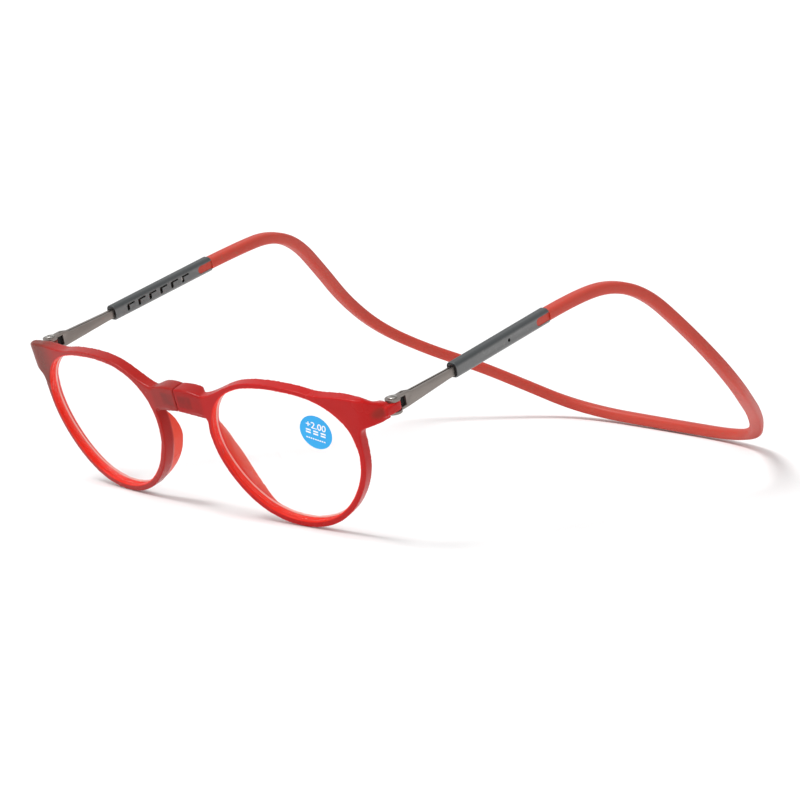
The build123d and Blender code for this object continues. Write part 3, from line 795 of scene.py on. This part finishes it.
def band_shape(material):
    """An upright rounded section carried along the band's line."""
    sizes = {
        "Width": BAND_WIDTH,
        "Height": BAND_HEIGHT,
        "Round": BAND_ROUND,
        "Round steps": BAND_ROUND_STEPS,
    }
    shape = Shape("neck_band_run", sizes)
    given = shape.given
    height, width = given["Height"], given["Width"]
    section = rounded_section(shape, height, width, given["Round"], given["Round steps"])
    sockets = {"Curve": given["Geometry"]}
    upright = shape.add("GeometryNodeSetCurveNormal", {"mode": "Z_UP"}, sockets)
    sockets = {"Curve": upright.outputs[0], "Profile Curve": section, "Fill Caps": True}
    run = shape.add("GeometryNodeCurveToMesh", None, sockets)
    shape.finish(run.outputs[0], material)
    return shape


def tongue_loops():
    """The tongue's sections: how far ahead of the sleeve's end, and half the height."""
    half = TONGUE_HEIGHT / 2
    straight = TONGUE_LENGTH - half
    loops = [(0.0, half), (straight, half)]
    for step in range(1, TONGUE_STEPS):
        turn = pi / 2 * step / TONGUE_STEPS
        loops.append((straight + half * sin(turn), half * cos(turn)))
    return loops


def add_tongue(work, side):
    """The band's tongue in one sleeve's slot: straight, with a round end."""
    start = band_start()
    across = temple_side * (BAND_WIDTH / 2)
    rings = []
    for ahead, half in tongue_loops():
        middle = start + temple_forward * ahead
        corners = [
            middle + across + hinge_axis * half,
            middle - across + hinge_axis * half,
            middle - across - hinge_axis * half,
            middle + across - hinge_axis * half,
        ]
        rings.append([work.verts.new(on_side(side, corner)) for corner in corners])
    for ring, after in zip(rings, rings[1:]):
        for i in range(4):
            work.faces.new((ring[i], ring[(i + 1) % 4], after[(i + 1) % 4], after[i]))
    work.faces.new(rings[0])
    work.faces.new(rings[-1])


def neck_band(material):
    """The neck band: one smooth run behind the sleeves, with a tongue in each of them."""
    line = new_item("neck_band_line", band_curve())
    mesh = band_shape(material).grow(line)
    bpy.data.objects.remove(line)
    work = bmesh.new()
    work.from_mesh(mesh)
    for side in SIDES:
        add_tongue(work, side)
    bmesh.ops.recalc_face_normals(work, faces=work.faces)
    work.to_mesh(mesh)
    work.free()
    shade(mesh)
    band = new_item("neck_band_rubber", mesh)
    stand_for(band, "band_and_sleeves", "neck_band")


def soft_edges(side, kind, body, material):
    """A copy of a rigid node with its sharp edges eased by a narrow bevel."""
    node = side + "_" + kind
    item = new_item(node + "_eased", welded_copy(node))
    work = bmesh.new()
    work.from_mesh(item.data)
    flat = radians(FLAT_ANGLE_DEG)
    bmesh.ops.dissolve_limit(work, angle_limit=flat, verts=work.verts, edges=work.edges)
    work.to_mesh(item.data)
    work.free()
    bevel = item.modifiers.new("edges", "BEVEL")
    bevel.width = EDGE_BEVEL
    bevel.segments = EDGE_BEVEL_STEPS
    bevel.limit_method = "ANGLE"
    bevel.angle_limit = radians(SHARP_ANGLE_DEG)
    mesh = apply_modifiers(item)
    shade(mesh)
    coat(mesh, material)
    stand_for(item, body, node)


def fork_liner(side, material):
    """The plate half way through the temple, which closes the window behind the knuckle; its
    near-black colour is painted shade.
    """
    name = side + "_fork_liner"
    work = bmesh.new()
    bmesh.ops.create_cube(work, size=1)
    for vertex in work.verts:
        across, back, up = vertex.co
        place = hinge_left + temple_back * (SHADE_PLATE_MIDDLE + SHADE_PLATE_LENGTH * back)
        place += temple_side * SHADE_PLATE_THICKNESS * across + hinge_axis * SHADE_PLATE_HEIGHT * up
        vertex.co = on_side(side, place)
    bmesh.ops.recalc_face_normals(work, faces=work.faces)
    mesh = new_mesh(name, work)
    coat(mesh, material)
    item = new_item(name, mesh)
    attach(item, side + "_temple_arm")


def print_row(name, count, step, width, height, material):
    """A straight row of plain marks, as a flat mesh."""
    sizes = {
        "Count": count,
        "Step": step,
        "Width": width,
        "Height": height,
        "Thickness": PRINT_THICKNESS,
    }
    shape = Shape(name, sizes)
    given = shape.given
    sockets = {0: given["Width"], 1: given["Height"], 2: given["Thickness"]}
    size = shape.add("ShaderNodeCombineXYZ", None, sockets)
    mark = shape.add("GeometryNodeMeshCube", None, {"Size": size.outputs[0]})
    offset = shape.add("ShaderNodeCombineXYZ", None, {0: given["Step"]})
    sockets = {"Count": given["Count"], "Offset": offset.outputs[0]}
    line = shape.add("GeometryNodeMeshLine", None, sockets)
    sockets = {"Points": line.outputs[0], "Instance": mark.outputs[0]}
    row = shape.add("GeometryNodeInstanceOnPoints", None, sockets)
    shape.finish(row.outputs[0], material)
    carrier = new_item(name, bpy.data.meshes.new(name))
    mesh = shape.grow(carrier)
    bpy.data.objects.remove(carrier)
    mesh.transform(Matrix.Translation((-(count - 1) * step / 2, 0, 0)))
    return mesh


def print_number():
    """The lens strength, as a mesh centred on the origin."""
    words = bpy.data.curves.new("strength", "FONT")
    words.body = PRINT_NUMBER
    words.size = PRINT_SIZE
    words.align_x = "CENTER"
    words.align_y = "CENTER"
    words.extrude = PRINT_THICKNESS / 2
    words.offset = PRINT_WEIGHT
    carrier = new_item("strength", words)
    mesh = plain_mesh(carrier)
    bpy.data.objects.remove(carrier)
    return mesh


def dome_height(u, v):
    """How far forward of its own centre the label's dome is at a place on the front."""
    return sqrt(LABEL_DOME_RADIUS ** 2 - from_lens_center(u, v) ** 2)


def dome_center():
    """How far forward the centre of the label's dome is, read from the label's own points."""
    label = frame["nodes"]["left_lens_sticker"].data
    places = [front_coordinates(vertex.co) for vertex in label.vertices]
    return max(n - dome_height(u, v) for u, v, n in places)


def label_print(material):
    """White print on the label: the strength, two rows of plain marks and a fine line."""
    work = bmesh.new()
    number = print_number()
    number.transform(Matrix.Translation((0, PRINT_NUMBER_UP, 0)))
    work.from_mesh(number)
    for name, count, step, width, height, up in PRINT_ROWS:
        row = print_row(name, count, step, width, height, material)
        row.transform(Matrix.Translation((0, up, 0)))
        work.from_mesh(row)
    center = dome_center()
    turn = Matrix.Rotation(radians(PRINT_TURN_DEG), 3, "Z")
    for vertex in work.verts:
        flat = turn @ vertex.co
        u, v = LABEL_CENTER_U + flat.x, LABEL_CENTER_V + flat.y
        n = center + dome_height(u, v) + flat.z + PRINT_LIFT
        vertex.co = front_origin + front_out * u + front_up * v + front_ahead * n
    bmesh.ops.remove_doubles(work, verts=work.verts, dist=WELD)
    bmesh.ops.recalc_face_normals(work, faces=work.faces)
    mesh = new_mesh("left_label_print", work)
    coat(mesh, material)
    item = new_item("left_label_print", mesh)
    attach(item, "left_front")


def dress_cad_nodes(finishes):
    """Gives each node of the frame its finish."""
    for name, node in frame["nodes"].items():
        kind = name.replace("left_", "").replace("right_", "")
        coat(node.data, finishes[kind])


def aim(item, direction):
    """Turns a light towards a direction."""
    item.rotation_euler = direction.to_track_quat("-Z", "Y").to_euler()


def lights():
    """A wide sun overhead and a soft panel in front."""
    sun = bpy.data.lights.new("overhead", "SUN")
    sun.energy = SUN_STRENGTH
    sun.angle = radians(SUN_SPREAD_DEG)
    aim(new_item("overhead", sun), -Vector(SUN_FROM))

    panel = bpy.data.lights.new("front", "AREA")
    panel.shape = "RECTANGLE"
    panel.size, panel.size_y = FRONT_LIGHT_SIZE
    panel.energy = FRONT_LIGHT_POWER
    item = new_item("front", panel)
    item.location = FRONT_LIGHT_FROM
    aim(item, Vector(LIGHT_TARGET) - Vector(FRONT_LIGHT_FROM))


def studio():
    """White floor and backdrop, and soft room light."""
    scene = bpy.context.scene
    scene.view_settings.view_transform = "Standard"
    world = bpy.data.worlds.new("studio")
    world.use_nodes = True
    room = Nodes(world.node_tree)
    background = world.node_tree.nodes["Background"]
    seen = room.add("ShaderNodeLightPath").outputs["Is Camera Ray"]
    sockets = {0: seen, 2: ROOM_LIGHT, 3: BACKDROP_LIGHT}
    strength = room.add("ShaderNodeMix", {"data_type": "FLOAT"}, sockets)
    room.feed(background.inputs["Color"], (1, 1, 1, 1))
    room.feed(background.inputs["Strength"], strength.outputs[0])
    scene.world = world

    mesh = bpy.data.meshes.new("floor")
    half = FLOOR_SIZE / 2
    corners = [(-half, -half, 0), (half, -half, 0), (half, half, 0), (-half, half, 0)]
    mesh.from_pydata(corners, [], [(0, 1, 2, 3)])
    coat(mesh, floor_paper())
    floor = new_item("floor", mesh)


def camera():
    """The camera at the photograph's place."""
    turn = radians(CAMERA_TURN_DEG)
    down = radians(CAMERA_DOWN_DEG)
    roll = radians(CAMERA_ROLL_DEG)
    ahead = Vector((-sin(turn) * cos(down), cos(turn) * cos(down), -sin(down)))
    right = Vector((cos(turn), sin(turn), 0))
    above = right.cross(ahead)
    across = right * cos(roll) + above * sin(roll)
    above = above * cos(roll) - right * sin(roll)
    place = hinge_middle + Vector(CAMERA_FROM_HINGES)
    data = bpy.data.cameras.new("camera")
    data.lens = CAMERA_LENS_MM
    data.sensor_width = CAMERA_SENSOR_MM
    data.clip_start, data.clip_end = CAMERA_CLIP
    item = new_item("camera", data)
    axes = Matrix((across, above, -ahead)).transposed()
    item.matrix_world = Matrix.Translation(place) @ axes.to_4x4()
    bpy.context.scene.camera = item


camera()
finishes = {
    "front_half": frame_plastic(),
    "lens": lens_clear(),
    "bridge_magnet": magnet_metal(),
    "temple": temple_metal(),
    "fork_liner": liner_metal(),
    "hinge_screw": screw_metal(),
    "detent_pin": screw_metal(),
    "sleeve": sleeve_plastic(),
    "lens_sticker": label_film(),
    "neck_band": band_rubber(),
    "label_print": label_ink(),
}
dress_cad_nodes(finishes)
neck_band(finishes["neck_band"])
for side in SIDES:
    soft_front(side, finishes["front_half"])
    soft_edges(side, "temple", side + "_temple_arm", finishes["temple"])
    soft_edges(side, "sleeve", "band_and_sleeves", finishes["sleeve"])
    fork_liner(side, finishes["fork_liner"])
label_print(finishes["label_print"])
studio()
lights()
